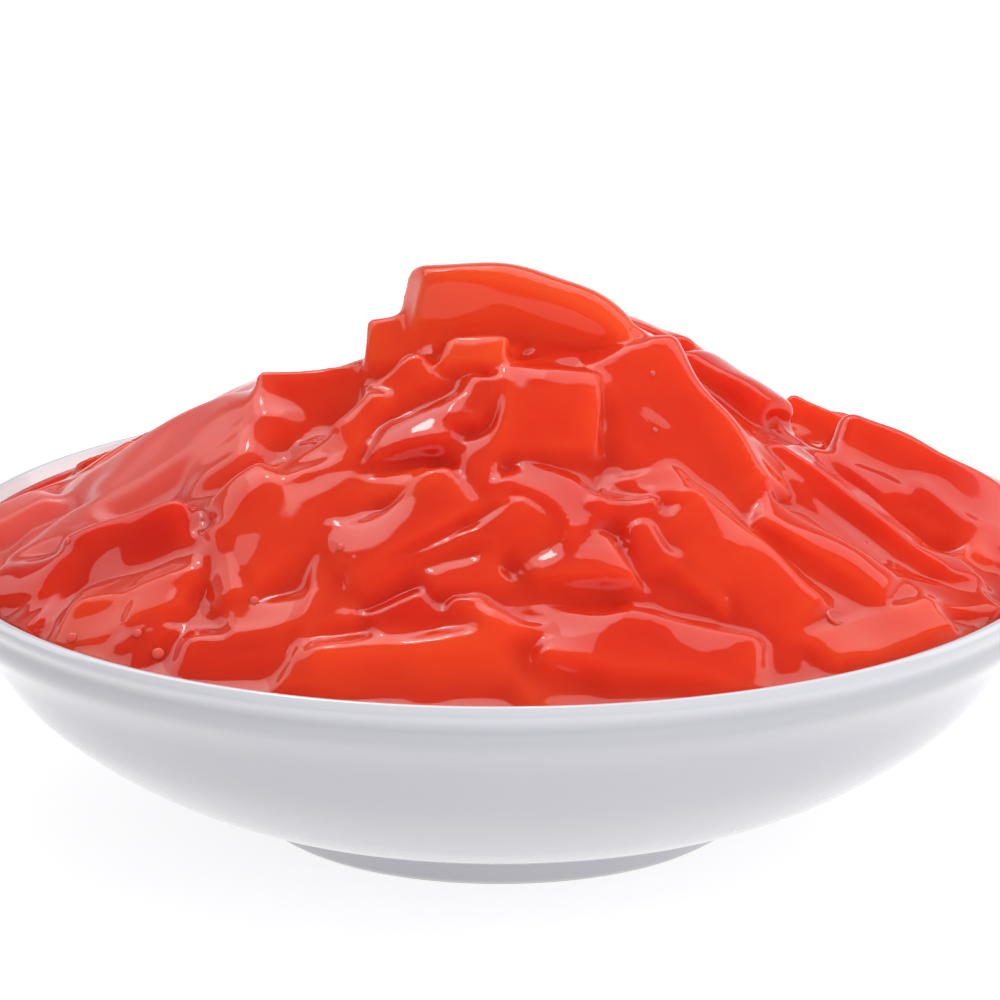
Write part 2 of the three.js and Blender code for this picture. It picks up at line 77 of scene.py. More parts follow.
LAID_STRIPS = [
    # name        x1     y1     lift1  x2     y2     lift2  wide  thick tilt  bow   curve
    ("crown",     -8.8,  -2.5,   5.3,  13.5,  -4.5,   2.5,   6.0,  9.5, -14,   2.8,  0.0),
    ("nub",      -14.2,  -3.5,   1.2,  -6.5,  -5.5,  -1.0,   6.5,  7.0,  18,   0.0,  0.0),
    ("under",     -5.8, -12.3,   1.8,   1.0, -12.6,   1.6,   4.5,  6.0,   0,   0.3,  0.0),
    ("brow",       2.0, -16.0,   1.2,  13.6,  -9.0,   1.9,   4.6,  5.0,  -8,   0.3,  0.0),
    ("breast",    -0.2, -20.9,   1.8,  10.2, -19.8,   2.2,  11.6,  7.0,   3,   0.0,  0.0),
    ("shoulder",  13.5,  -9.0,   3.1,  23.0, -28.5,  -1.3,  13.0,  8.0,   9,   0.2,  0.0),
    ("ridge",     15.2,  -3.0,   2.6,  28.3, -21.4,   1.6,   5.0,  7.0, -22,   0.5, -1.0),
    ("hip",       21.0,   6.0,   1.5,  30.0,  -2.0,   2.0,   8.0,  7.0,   0,   0.0,  0.0),
    ("glint",     -3.8, -22.0,   1.8,  -1.4, -16.5,   1.7,   3.4,  4.0,  -8,   0.0,  0.0),
    ("stem",      -1.9, -23.5,   0.9,  -0.6, -33.0,   1.5,   3.4,  5.0,  10,   0.0,  0.6),
    ("cheek",    -12.6, -23.5,   1.6,  -4.6, -21.8,   1.8,   6.0,  6.0,  -9,   0.3,  0.0),
    ("temple",   -13.5, -16.0,   1.4,  -7.5, -13.0,   1.6,   4.0,  5.0,  10,   0.0,  0.0),
    ("tuft",     -16.5, -19.5,   1.2, -12.5, -16.5,   1.6,   3.6,  4.0,   0,   0.0,  0.0),
    ("tendon",    -9.6, -10.5,   1.4,  -6.8, -15.5,   1.2,   2.2,  4.0,   0,   0.0,  0.8),
    ("ledge",    -24.8,  -8.0,   1.1, -13.6,  -8.0,  -3.5,  11.5,  8.0,  23,   0.0,  0.0),
    ("fold",     -22.5, -22.0,   0.9, -14.0, -20.5,   0.9,   5.5,  6.0,  -8,   0.0,  0.0),
    ("sliver",   -20.0, -27.0,   0.8,  -7.0, -28.0,   1.4,   3.0,  4.0, -10,   0.0,  0.4),
    ("plank",    -15.4, -38.0,   1.0,  -4.2, -30.4,   1.7,   7.0,  7.0,  -7,   0.5,  0.0),
    ("rail",     -14.0, -41.5,   0.9,  -3.2, -36.0,   1.0,   2.4,  4.0,   0,   0.0,  0.0),
    ("tread",    -26.5, -41.0,   0.8, -14.5, -43.2,   0.7,   4.5,  5.0, -10,   0.0,  0.0),
    ("peak",     -26.0, -21.0,   1.8, -21.5, -36.0,   0.2,   8.5,  9.0,   0,   0.6,  0.0),
    ("slope",    -18.0, -23.5,   1.4, -16.5, -38.0,  -1.0,   8.5,  6.0,   0,   0.3,  0.0),
    ("fin",      -29.8, -27.0,   1.0, -27.0, -38.5,   0.9,   3.0,  5.0,  30,   0.0,  0.0),
    ("lens",     -45.0, -21.5,   1.2, -31.5, -26.5,   1.8,   9.0,  7.0,  20,   0.4,  0.0),
    ("band",     -42.5, -29.0,   0.5, -30.5, -31.5,   0.9,   4.4,  4.0, -12,   0.0,  0.0),
    ("tablet",   -36.8, -34.0,   0.9, -31.0, -34.8,   1.2,   6.0,  6.0,  -4,   0.0,  0.0),
    ("tile",     -44.0, -33.0,   0.6, -37.6, -34.6,   0.6,   6.0,  6.0,   8,   0.0,  0.0),
    ("chip",     -37.2, -40.5,   0.6, -33.2, -38.6,   0.6,   3.4,  3.0,   0,   0.0,  0.0),
    ("sill",     -32.2, -43.5,   0.6, -21.0, -46.2,   0.3,   6.5,  6.0,   4,   0.0,  0.0),
    ("pillow",   -53.0, -18.0,   0.8, -44.5, -24.0,   0.6,   8.0,  7.0,  10,   0.6,  0.0),
    ("bolster",  -56.0,  -1.0,   2.4, -47.5,   0.0,   2.0,   8.0,  8.0,  10,   0.0,  0.0),
    ("sheet",    -46.0,   6.0,  -1.6, -22.0,   7.0,  -0.5,  17.0,  8.0,   0,   0.6,  0.0),
    ("veil",     -43.0,  -6.5,   0.8, -25.0,  -5.5,   1.2,  13.0,  7.0,   6,   0.6,  0.0),
    ("dapple",   -31.5, -14.5,   0.4, -25.5, -14.0,   1.0,   6.0,  5.0,  -2,   0.0,  0.0),
    ("shelf",    -51.0, -11.0,   0.8, -41.0, -13.0,   0.5,   8.0,  7.0,  -6,   0.3,  0.0),
    ("hook",       1.4, -28.8,   1.5,   9.2, -35.2,   2.1,   6.0,  4.5, -10,   0.2, -1.3),
    ("swag",       9.4, -31.0,   0.9,  15.6, -30.6,   1.6,   3.0,  4.0,  -6,  -0.5,  0.0),
    ("wedge",     13.4, -27.2,   0.4,  19.2, -25.6,   1.4,   4.2,  4.0, -10,   0.0,  0.0),
    ("shard",     -1.6, -37.4,   0.9,   4.0, -34.0,   1.5,   5.0,  5.0,   0,   0.4,  0.0),
    ("pad",        2.6, -39.6,   0.9,  12.4, -37.8,   1.7,   6.8,  7.0, -12,   0.3,  0.0),
    ("drop",      13.6, -33.0,   1.2,  16.2, -37.6,   1.0,   3.0,  5.0,   5,   0.3,  0.0),
    ("blade",     18.4, -35.0,   0.9,  22.4, -40.4,   0.8,   2.8,  4.0, -10,   0.0,  0.0),
    ("slide",     17.5, -29.0,   0.6,  31.0, -39.0,   0.3,   9.0,  6.0,   8,   0.6,  0.0),
    ("beam",      26.5, -25.5,   1.5,  39.6, -29.4,   0.8,   6.0,  9.0,  -8,   0.3,  0.0),
    ("stripe",    29.8, -10.5,   1.4,  45.6, -19.5,   0.9,   5.5,  7.0, -14,   0.3,  0.0),
    ("broad",     35.5,  -4.0,   0.9,  54.5,  -5.0,   3.2,  14.0,  9.0,  26,   0.5,  0.0),
    ("broad_end", 49.0, -11.0,   1.0,  56.0,  -8.0,   1.6,   7.0,  7.0,  10,   0.0,  0.0),
    ("raft",      31.6, -43.2,   0.7,  44.8, -31.0,   1.6,   4.8,  4.0, -10,   0.0,  0.0),
    ("crumb_a",   42.0, -28.0,   0.6,  50.5, -22.5,   0.9,   5.0,  5.0,  -8,   0.0,  0.0),
    ("crumb_b",   44.6, -21.0,   1.2,  49.2, -18.0,   1.0,   4.0,  4.0,  -8,   0.0,  0.0),
    ("brick",      3.6, -48.6,   1.4,  26.0, -46.8,   0.9,   9.0,  8.0,  -7,   0.6,  0.0),
    ("curl",      -2.8, -44.2,   1.0,   2.2, -48.8,   1.8,   3.0,  4.0, -10,   0.5,  0.8),
    ("crumb_c",   -7.0, -41.4,   0.8,   0.0, -39.8,   0.9,   3.6,  4.0,  -4,   0.0,  0.0),
    ("crumb_d",  -12.5, -45.6,   0.6,  -7.0, -44.2,   0.9,   4.0,  4.0,   0,   0.0,  0.0),
    ("cube",      -5.2, -45.4,   1.0,  -2.6, -45.6,   1.0,   3.6,  4.0,  24,   0.0,  0.0),
    ("kerb",     -19.2, -50.3,   0.8,   1.0, -51.3,   0.2,   7.5,  8.0,  34,   0.3,  0.0),
]

# How strips depart from even blocks: taper, skewed ends, twist (radians) and swell of the upper face (mm).
STRIP_SHAPES = {
    "crown": (0.10, 0.33, 0.05, 0.9),
    "nub": (0.0, 0.15, 0.0, 0.2),
    "under": (0.1, -0.2, 0.05, 0.1),
    "brow": (-0.2, 0.2, 0.1, 0.2),
    "breast": (-0.05, -0.1, 0.05, 0.9),
    "shoulder": (0.05, 0.3, 0.05, 0.25),
    "ridge": (0.0, 0.0, -0.1, 0.2),
    "cheek": (0.2, -0.5, 0.05, 0.1),
    "ledge": (0.0, 0.1, 0.0, 0.1),
    "plank": (0.05, -0.3, 0.12, 0.25),
    "peak": (0.1, 0.3, -0.25, 0.8),
    "slope": (0.1, 0.0, 0.1, 0.6),
    "lens": (0.0, 0.2, 0.0, 0.1),
    "brick": (0.0, 0.05, 0.16, 0.15),
    "kerb": (0.05, 0.1, 0.0, 0.3),
    "beam": (0.0, 0.1, 0.05, 0.4),
    "raft": (0.0, 0.1, 0.05, 0.1),
    "hook": (0.05, 0.2, 0.0, 0.1),
    "wedge": (0.4, 0.3, 0.0, 0.0),
    "blade": (-0.5, 0.2, 0.0, 0.0),
    "drop": (0.3, 0.0, 0.0, 0.4),
    "pad": (0.1, 0.2, 0.05, 0.25),
    "shard": (0.1, 0.2, 0.1, 0.4),
    "slide": (0.0, 0.2, 0.05, 0.6),
    "pillow": (0.0, 0.0, 0.0, 0.8),
    "sheet": (0.0, 0.3, 0.05, 0.5),
    "veil": (0.0, 0.3, 0.05, 0.5),
    "bolster": (0.0, 0.2, 0.0, 0.5),
}

# How orange some strips are: 0 is deep red, 2 is orange. The others draw a tone from CHANCE_TONE.
# The high tones of crown, under and kerb are painted light: they stand in for light shining through those
# strips.
STRIP_TONES = {"crown": 1.8, "under": 1.4, "kerb": 1.4, "breast": 0.7, "brick": 0.55, "shoulder": 0.7}

# Softer strips, with this much rounding of their edges.
STRIP_ROUNDING = {"sheet": 2.4, "veil": 2.4, "bolster": 1.8, "pillow": 1.8, "shelf": 1.8, "dapple": 1.8,
                  "broad": 1.6, "broad_end": 1.4, "slope": 1.4, "slide": 1.4, "shoulder": 1.6, "lens": 1.4,
                  "kerb": 2.2, "brick": 1.2, "sill": 2.0, "peak": 1.1, "hip": 1.2}

# Slack strips that the syrup has half dissolved, with the width of the fillets round them.
STRIP_WETTING = {"sheet": 3.6, "veil": 3.6, "bolster": 3.0, "pillow": 3.0, "shelf": 3.0, "dapple": 3.0}

# Where the jelly is coloured a pale pink, as a painted sheen, and made rougher: side of the heap, where it
# starts (|x|), from and to which y, over what width it sets in, and how much.
PAINTED_SHEEN_ENDS = [(-1, 23.0, -20.0, 19.0, 9.0, 1.0), (1, 47.0, -14.0, 16.0, 9.0, 0.8)]

# What the strips that the tables leave out draw: taper, skew, twist and swell, and then their tone.
CHANCE_SHAPES = [(-0.14, 0.14), (-0.3, 0.3), (-0.15, 0.15), (-0.1, 0.6)]
CHANCE_TONE = (0.0, 1.0)
CHANCE_SEED = 31

# Drops that stand on the strips, and one burst bubble's ring: place (x, y) and radius.
DROPS = [(-43.0, -35.2, 0.62), (-33.9, -41.9, 0.66), (-36.1, -39.2, 0.50), (-24.4, -38.9, 0.52),
         (-15.9, -36.3, 0.46), (-14.5, -38.2, 0.24), (-5.7, -26.7, 0.30), (-44.4, -19.6, 0.42),
         (-37.8, -36.8, 0.18), (15.8, -12.2, 0.34), (15.9, -19.6, 0.32)]
BUBBLE_RING = (34.0, -36.6, 1.3)

# A drop's outline for a radius of 1, from the middle of its underside to its top.
DROP_OUTLINE = [(0, -0.4), (0.6, -0.4), (0.95, -0.1), (1, 0.1), (0.9, 0.42), (0.66, 0.68), (0.35, 0.84),
                (0, 0.9)]
DROP_TURNS = 28
RING_HALF_WIDTH = 0.24     # of the bubble ring's round section
RING_HALF_HEIGHT = 0.2
RING_CORNERS = 13
COLUMN_ABOVE = 5           # how far above HEAP_TOP the jelly under a drop is looked for,
COLUMN_STEP = 0.05         # and how closely

# Strips laid by a rule on rings round the mound: those at the back, and sunk ones between the others.
BACK_RINGS = (9, 18, 27, 36, 45, 52)
BACK_SPACING = 11
BEARING_STRAY = 0.25       # how far a strip strays along its ring, as a share of the spacing,
RADIUS_STRAY = 1.5         # and across it
BACK_LENGTH = (13, 22)
BACK_WIDTH = (6.5, 9.5)
BACK_THICKNESS = (6, 8)
BACK_LIFT = (0.2, 2.0)
BACK_TILT = 22
BACK_START = 5
BACK_START_SLOPE = 0.2
BACK_SEED = 4177
SUNK_SEED = 977
SUNK_LIFT = (-1.5, -0.5)
SUNK_PROUD = 1.3           # most that a sunk strip stands out of the core

# Where the heap departs from the mean mound: by how much, at which place (x, y), and its reach (x, y).
UNEVENNESS = [
    (-10.5, -12.0, 12.0, 12.0, 12.0),   # hollow behind the ledge
    (-2.0, -38.0, 16.0, 20.0, 16.0),    # low far left
    (-4.5, 32.0, 14.0, 7.5, 13.0),      # hollow before the right end
    (4.3, 55.0, 8.0, 11.0, 18.0),       # full right end
    (-4.2, -19.0, -10.0, 7.0, 6.0),     # foot of the ledge
    (-2.2, 43.0, -13.0, 8.0, 5.0),      # trough before the right end
]

CELL = 0.465               # spacing of the grid on which the wet jelly's surface is found
EDGE_ROUND = 0.6           # rounding of a strip's cut edges
WARP = 0.22                # how far the jelly's soft faces wander
WETTING = 1.8              # width of the syrup fillets between neighbours
SOFTENING = 0.3            # how far each distance moves towards its neighbours' mean
GRID_INSET = 1.6           # how far the grid stays inside the rim,
GRID_BELOW = 2.2           # goes below the syrup's level
GRID_ABOVE = 5.5           # and rises above HEAP_TOP
STRIP_REACH = 4            # how far round a strip its distance is worked out
BEND_LIMIT = 1.3           # a strip's bends go on to this many half lengths from its middle
CORE_TONE = 0.35
SKIRT_LIFT = 0.02          # how far the heap's flat skirt lies above the syrup,
SKIRT_WETTING = 1.6        # how wide the fillets down to it are
SKIRT_GAP = 0.15           # and how far it ends inside the syrup's edge
FITTING_ROUNDS = 3         # how often the mesh is moved towards the zero surface,
FITTING_SHARE = 0.7        # and by what share of the way
LEAST_SLOPE = 0.2          # least squared slope that such a step reckons with
# HOLLOW_PROBES measure how closely other jelly stands round a face; the jelly's colour is painted darker
# there, as shade in creases and between strips.
HOLLOW_PROBES = (0.8, 1.6, 2.8)     # how far out from a face other jelly is looked for,
THIN_PROBES = (2.0, 3.5)            # and how far in the jelly's far side


# ---- Laying the strips ----

def random_source(seed):
    state = [seed]

    def draw(low, high):
        state[0] = state[0] * 16807 % 2147483647
        return low + (high - low) * state[0] / 2147483647

    return draw


def mound_height(radius):
    return HEAP_TOP - HEAP_SLOPE * (np.hypot(radius, HEAP_ROUNDING) - HEAP_ROUNDING)


def mound_normal(x, y):
    fall = HEAP_SLOPE / math.sqrt(x * x + y * y + HEAP_ROUNDING ** 2)
    return Vector((fall * x, fall * y, 1)).normalized()


def unevenness(x, y):
    """How far the heap rises above the mean mound."""
    return sum(
        rise * np.exp(-((x - at_x) / reach_x) ** 2 - ((y - at_y) / reach_y) ** 2)
        for rise, at_x, at_y, reach_x, reach_y in UNEVENNESS
    )


def on_mound(x, y, lift):
    return Vector((x, y, float(mound_height(math.hypot(x, y))) + lift))


def strip(start, end, width, thickness, tilt, bow=0.0, curve=0.0):
    """A strip as its middle point, axes (across, up, along) and sizes."""
    middle = (start + end) / 2
    along = (end - start).normalized()
    across = mound_normal(middle.x, middle.y).cross(along).normalized()
    up = along.cross(across)
    turn = math.radians(tilt)
    turned_across = across * math.cos(turn) + up * math.sin(turn)
    turned_up = up * math.cos(turn) - across * math.sin(turn)
    return {
        "middle": np.array(middle),
        "axes": np.array([turned_across, turned_up, along]),
        "length": (end - start).length,
        "width": width,
        "thickness": thickness,
        "bow": bow,
        "curve": curve,
    }


def laid_strips():
    return [
        strip(on_mound(x1, y1, lift1), on_mound(x2, y2, lift2), width, thickness, tilt, bow, curve)
        for _, x1, y1, lift1, x2, y2, lift2, width, thickness, tilt, bow, curve in LAID_STRIPS
    ]


def ring_strips(seed, lift, keep):
    """Strips scattered on rings round the mound, where keep(x, y) says so."""
    draw = random_source(seed)
    strips = []
    for ring in BACK_RINGS:
        count = round(2 * math.pi * ring / BACK_SPACING)
        for i in range(count):
            bearing = 2 * math.pi * (i + draw(-BEARING_STRAY, BEARING_STRAY)) / count
            radius = ring + draw(-RADIUS_STRAY, RADIUS_STRAY)
            x, y = radius * math.cos(bearing), radius * math.sin(bearing)
            heading = draw(0, math.pi)
            half = draw(*BACK_LENGTH) / 2
            dx, dy = half * math.cos(heading), half * math.sin(heading)
            rise = float(unevenness(x, y))
            start = on_mound(x - dx, y - dy, draw(*lift) + rise)
            end = on_mound(x + dx, y + dy, draw(*lift) + rise)
            width, thickness = draw(*BACK_WIDTH), draw(*BACK_THICKNESS)
            piece = strip(start, end, width, thickness, draw(-BACK_TILT, BACK_TILT))
            if keep(x, y):
                strips.append(piece)
    return strips


def behind(x, y):
    return y > BACK_START + BACK_START_SLOPE * abs(x)


def all_strips():
    """The strips that show, and the sunk ones that fill the gaps between them."""
    back = ring_strips(BACK_SEED, BACK_LIFT, behind)
    sunk = ring_strips(SUNK_SEED, SUNK_LIFT, lambda x, y: not behind(x, y))
    laid = laid_strips()
    names = [row[0] for row in LAID_STRIPS] + [None] * (len(back) + len(sunk))
    draw = random_source(CHANCE_SEED)
    for piece, name in zip(laid + back + sunk, names):
        chance = [draw(*limits) for limits in CHANCE_SHAPES]
        piece["taper"], piece["skew"], piece["twist"], piece["swell"] = STRIP_SHAPES.get(name, chance)
        piece["tone"] = STRIP_TONES.get(name, draw(*CHANCE_TONE))
        piece["rounding"] = STRIP_ROUNDING.get(name, EDGE_ROUND)
        piece["wetting"] = STRIP_WETTING.get(name, WETTING)
    return laid + back, sunk


# ---- The wet surface of the heap, as a distance field ----

def blend_near(a, b, width):
    """Smooth minimum of two distance fields."""
    mix = np.clip(0.5 + 0.5 * (b - a) / width, 0, 1)
    return b + (a - b) * mix - width * mix * (1 - mix)


def strip_distance(piece, points):
    """Distance from points (..., 3) to a strip with rounded edges, its bends undone first."""
    local = (points - piece["middle"]) @ piece["axes"].T
    across, up, along = local[..., 0], local[..., 1], local[..., 2]
    reach = np.clip(2 * along / piece["length"], -BEND_LIMIT, BEND_LIMIT)
    bend = 1 - reach ** 2
    across = across + piece["curve"] * bend
    half_width = piece["width"] / 2
    half_thickness = piece["thickness"] / 2
    up = up - piece["bow"] * bend + half_thickness
    turn = piece["twist"] * reach
    across, up = across * np.cos(turn) + up * np.sin(turn), up * np.cos(turn) - across * np.sin(turn)
    across = across / (1 + piece["taper"] * reach)
    along = along + piece["skew"] * across
    swell = piece["swell"] * (1 - np.clip(across / half_width, -1, 1) ** 2)
    rounding = piece["rounding"]
    excess = np.stack([
        np.abs(across) - (half_width - rounding),
        np.abs(up) - (half_thickness - rounding) - swell,
        np.abs(along) - (piece["length"] / 2 - rounding),
    ], axis=-1)
    outside = np.linalg.norm(np.maximum(excess, 0), axis=-1)
    inside = np.minimum(excess.max(axis=-1), 0)
    return outside + inside - rounding


def warped(points):
    """Points shifted slowly to and fro, so that cut faces and edges are as uneven as soft jelly's."""
    x, y, z = points[..., 0], points[..., 1], points[..., 2]
    shift = np.stack([
        np.sin(0.34 * y + 0.21 * z + 0.4) + 0.5 * np.sin(0.61 * z - 0.47 * x),
        np.sin(0.31 * x - 0.26 * z + 1.9) + 0.5 * np.sin(0.66 * x + 0.38 * y),
        np.sin(0.29 * x + 0.33 * y + 2.7) + 0.5 * np.sin(0.58 * y - 0.52 * x),
    ], axis=-1)
    return points + WARP * shift


class HeapField:
    """Distance to the heap on a grid, with the tone of the strip that is nearest."""

    def __init__(self, strips, sunk):
        reach = RIM_RADIUS - GRID_INSET
        self.low = np.array([-reach, -reach, SYRUP_LEVEL - GRID_BELOW])
        high = np.array([reach, reach, HEAP_TOP + GRID_ABOVE])
        self.shape = np.ceil((high - self.low) / CELL).astype(int) + 1
        axes = [self.low[i] + CELL * np.arange(self.shape[i]) for i in range(3)]
        self.points = np.stack(np.meshgrid(*axes, indexing="ij"), axis=-1).astype(np.float32)
        core = self.core_distance(self.points)
        self.value = core.copy()
        self.tone = np.full(self.value.shape, CORE_TONE, dtype=np.float32)
        for piece in sunk:
            self.add(piece)
        self.value = np.maximum(self.value, core - SUNK_PROUD)
        for piece in strips:
            self.add(piece)
        self.soften()
        self.settle_in_syrup()

    @staticmethod
    def core_distance(points):
        radius = np.hypot(points[..., 0], points[..., 1])
        depth = CORE_DEPTH_TOP + (CORE_DEPTH_RIM - CORE_DEPTH_TOP) * np.clip(radius / RIM_RADIUS, 0, 1)
        depth = depth - unevenness(points[..., 0], points[..., 1])
        steepness = math.sqrt(1 + HEAP_SLOPE ** 2)
        return ((points[..., 2] - mound_height(radius) + depth) / steepness).astype(np.float32)

    def add(self, piece):
        """Joins a strip to the heap by a fillet. The strip hangs down from its middle by its thickness."""
        reach = np.abs(piece["axes"].T) @ np.array([piece["width"], 2 * piece["thickness"], piece["length"]])
        reach = reach / 2 + abs(piece["bow"]) + abs(piece["curve"]) + STRIP_REACH
        first = np.floor((piece["middle"] - reach - self.low) / CELL).astype(int)
        last = np.ceil((piece["middle"] + reach - self.low) / CELL).astype(int)
        first, last = np.maximum(first, 0), np.minimum(last, self.shape)
        if (last <= first).any():
            return
        part = tuple(slice(a, b) for a, b in zip(first, last))
        distance = strip_distance(piece, warped(self.points[part])).astype(np.float32)
        nearer = np.clip(0.5 + 0.5 * (self.value[part] - distance) / piece["wetting"], 0, 1)
        self.tone[part] += (piece["tone"] - self.tone[part]) * nearer
        self.value[part] = blend_near(self.value[part], distance, piece["wetting"])

    def soften(self):
        """Evens the distances with their neighbours, so that no crease is sharper than a wet one."""
        for axis in range(3):
            inner, below, above = ([slice(None)] * 3 for _ in range(3))
            inner[axis], below[axis], above[axis] = slice(1, -1), slice(0, -2), slice(2, None)
            evened = (self.value[tuple(below)] + self.value[tuple(above)]) / 2
            self.value[tuple(inner)] += SOFTENING * (evened - self.value[tuple(inner)])

    def settle_in_syrup(self):
        """Fillets down to a flat skirt just above the syrup, which ends just inside the syrup's edge."""
        height = self.points[..., 2]
        radius = np.hypot(self.points[..., 0], self.points[..., 1])
        self.value = blend_near(self.value, height - (SYRUP_LEVEL + SKIRT_LIFT), SKIRT_WETTING)
        self.value = np.maximum(self.value, radius - (SYRUP_EDGE - SKIRT_GAP))
        self.value = self.value.astype(np.float32)

    def sample(self, grid, points):
        """Values of a grid at points, by straight-line interpolation."""
        place = (points - self.low) / CELL
        place = np.clip(place, 0, self.shape - 1.001)
        base = np.floor(place).astype(int)
        part = place - base
        total = np.zeros(len(points))
        for corner in np.ndindex(2, 2, 2):
            weight = np.prod(np.where(corner, part, 1 - part), axis=1)
            index = base + corner
            total += weight * grid[index[:, 0], index[:, 1], index[:, 2]]
        return total

    def slope(self, points):
        step = 0.5 * CELL
        parts = []
        for axis in range(3):
            offset = np.zeros(3)
            offset[axis] = step
            ahead = self.sample(self.value, points + offset)
            back = self.sample(self.value, points - offset)
            parts.append((ahead - back) / (2 * step))
        return np.stack(parts, axis=1)


def surface_net(field, low):
    """Vertices and quads of the zero surface of a grid of distances."""
    inside = field < 0
    cells = tuple(n - 1 for n in field.shape)
    count = np.zeros(cells, dtype=np.int8)
    for corner in np.ndindex(2, 2, 2):
        count += inside[tuple(slice(c, c + n) for c, n in zip(corner, cells))]
    mixed = (count > 0) & (count < 8)
    base = np.argwhere(mixed)
    number = np.full(cells, -1, dtype=np.int64)
    number[mixed] = np.arange(len(base))
    total = np.zeros((len(base), 3))
    crossings = np.zeros(len(base))
    for axis in range(3):
        others = [a for a in range(3) if a != axis]
        for pair in np.ndindex(2, 2):
            start = np.zeros(3, dtype=int)
            start[others] = pair
            end = start.copy()
            end[axis] = 1
            first = field[tuple((base + start).T)]
            last = field[tuple((base + end).T)]
            crossed = (first < 0) != (last < 0)
            share = np.where(crossed, first / np.where(crossed, first - last, 1), 0)
            place = base + start + share[:, None] * (end - start)
            total += np.where(crossed[:, None], place, 0)
            crossings += crossed
    vertices = low + CELL * total / crossings[:, None]
    quads = []
    for axis in range(3):
        u, v = [(axis + 1) % 3, (axis + 2) % 3]
        near = [slice(None)] * 3
        far = [slice(None)] * 3
        near[axis], far[axis] = slice(0, -1), slice(1, None)
        change = inside[tuple(near)] != inside[tuple(far)]
        edges = np.argwhere(change)
        fits = (edges[:, u] > 0) & (edges[:, v] > 0)
        fits &= (edges[:, u] < field.shape[u] - 1) & (edges[:, v] < field.shape[v] - 1)
        edges = edges[fits]
        ring = []
        for du, dv in ((-1, -1), (0, -1), (0, 0), (-1, 0)):
            cell = edges.copy()
            cell[:, u] += du
            cell[:, v] += dv
            ring.append(number[tuple(cell.T)])
        quad = np.stack(ring, axis=1)
        outward = inside[tuple(edges.T)]
        quad[~outward] = quad[~outward][:, ::-1]
        quads.append(quad)
    return vertices, np.concatenate(quads)


def new_mesh(name, vertices, faces):
    mesh = bpy.data.meshes.new(name)
    mesh.from_pydata((np.asarray(vertices) * MM).tolist(), [], [tuple(map(int, face)) for face in faces])
    mesh.update()
    mesh.shade_smooth()
    obj = bpy.data.objects.new(name, mesh)
    bpy.context.scene.collection.objects.link(obj)
    return obj


def store(obj, name, values):
    layer = obj.data.attributes.new(name, "FLOAT", "POINT")
    layer.data.foreach_set("value", np.asarray(values, dtype=np.float32))


def painted_sheen_share(x, y):
    """Share of jelly coloured a pale pink, a painted sheen, and made rougher: at the heap's two ends, as the
    table of ends gives.
    """
    shares = [
        most * np.clip((side * x - start) / reach, 0, 1)
        * np.clip((y - front) / reach, 0, 1) * np.clip((back - y) / reach, 0, 1)
        for side, start, front, back, reach, most in PAINTED_SHEEN_ENDS
    ]
    return np.maximum(*shares)


def heap_mesh(field):
    """The heap's wet surface, with what the jelly's look needs to know at each of its vertices: its tone,
    and the measures by which it paints shade in creases, light in thin parts and a pale sheen at the ends.
    """
    vertices, quads = surface_net(field.value, field.low)
    for _ in range(FITTING_ROUNDS):
        slope = field.slope(vertices)
        size = np.maximum((slope ** 2).sum(axis=1), LEAST_SLOPE)
        vertices -= slope * (field.sample(field.value, vertices) / size)[:, None] * FITTING_SHARE
    obj = new_mesh("jelly_strips", vertices, quads)
    slope = field.slope(vertices)
    normal = slope / np.maximum(np.linalg.norm(slope, axis=1), 1e-6)[:, None]
    # hollow: painted shade, the colour is made darker where other jelly closes round a face.
    hollow = np.zeros(len(vertices))
    for distance in HOLLOW_PROBES:
        gap = field.sample(field.value, vertices + normal * distance)
        hollow += np.clip(1 - gap / distance, 0, 1) / len(HOLLOW_PROBES)
    # thin: painted light, the colour is made brighter orange where the jelly's far side is near, as light
    # shining through.
    thin = np.zeros(len(vertices))
    for distance in THIN_PROBES:
        depth = -field.sample(field.value, vertices - normal * distance)
        thin += np.clip(1 - depth / distance, 0, 1) / len(THIN_PROBES)
    store(obj, "tone", field.sample(field.tone, vertices))
    store(obj, "hollow", hollow)
    store(obj, "thin", thin)
    store(obj, "painted_sheen", painted_sheen_share(vertices[:, 0], vertices[:, 1]))
    return obj


# ---- The dish ----

SPLINE_STEPS = 8           # from one point of a profile to the next
FINE_TURNS = 240           # sides of what shows round the heap
HIDDEN_TURNS = 120         # and of what doesn't


def spline(points):
    """A smooth curve through points, with evenly spaced knots."""
    points = np.array(points, dtype=float)
    before, after = 2 * points[0] - points[1], 2 * points[-1] - points[-2]
    padded = np.vstack([before, points, after])
    result = []
    for i in range(len(points) - 1):
        p0, p1, p2, p3 = padded[i:i + 4]
        for t in np.arange(SPLINE_STEPS) / SPLINE_STEPS:
            result.append(0.5 * (2 * p1 + (p2 - p0) * t + (2 * p0 - 5 * p1 + 4 * p2 - p3) * t ** 2
                                 + (3 * p1 - p0 - 3 * p2 + p3) * t ** 3))
    result.append(points[-1])
    return np.array(result)


def turned(profile, turns):
    """Vertices and faces of a profile of (radius, height) turned round the Z axis."""
    angles = 2 * np.pi * np.arange(turns) / turns
    vertices = []
    rings = []
    for radius, height in profile:
        if radius < 1e-6:
            rings.append([len(vertices)] * turns)
            vertices.append((0, 0, height))
            continue
        rings.append(list(range(len(vertices), len(vertices) + turns)))
        vertices.extend((radius * math.cos(a), radius * math.sin(a), height) for a in angles)
    faces = []
    for low, high in zip(rings, rings[1:]):
        for i in range(turns):
            j = (i + 1) % turns
            corners = dict.fromkeys((low[i], low[j], high[j], high[i]))
            faces.append(tuple(corners))
    return vertices, faces


def lathe(name, profile, turns):
    return new_mesh(name, *turned(profile, turns))


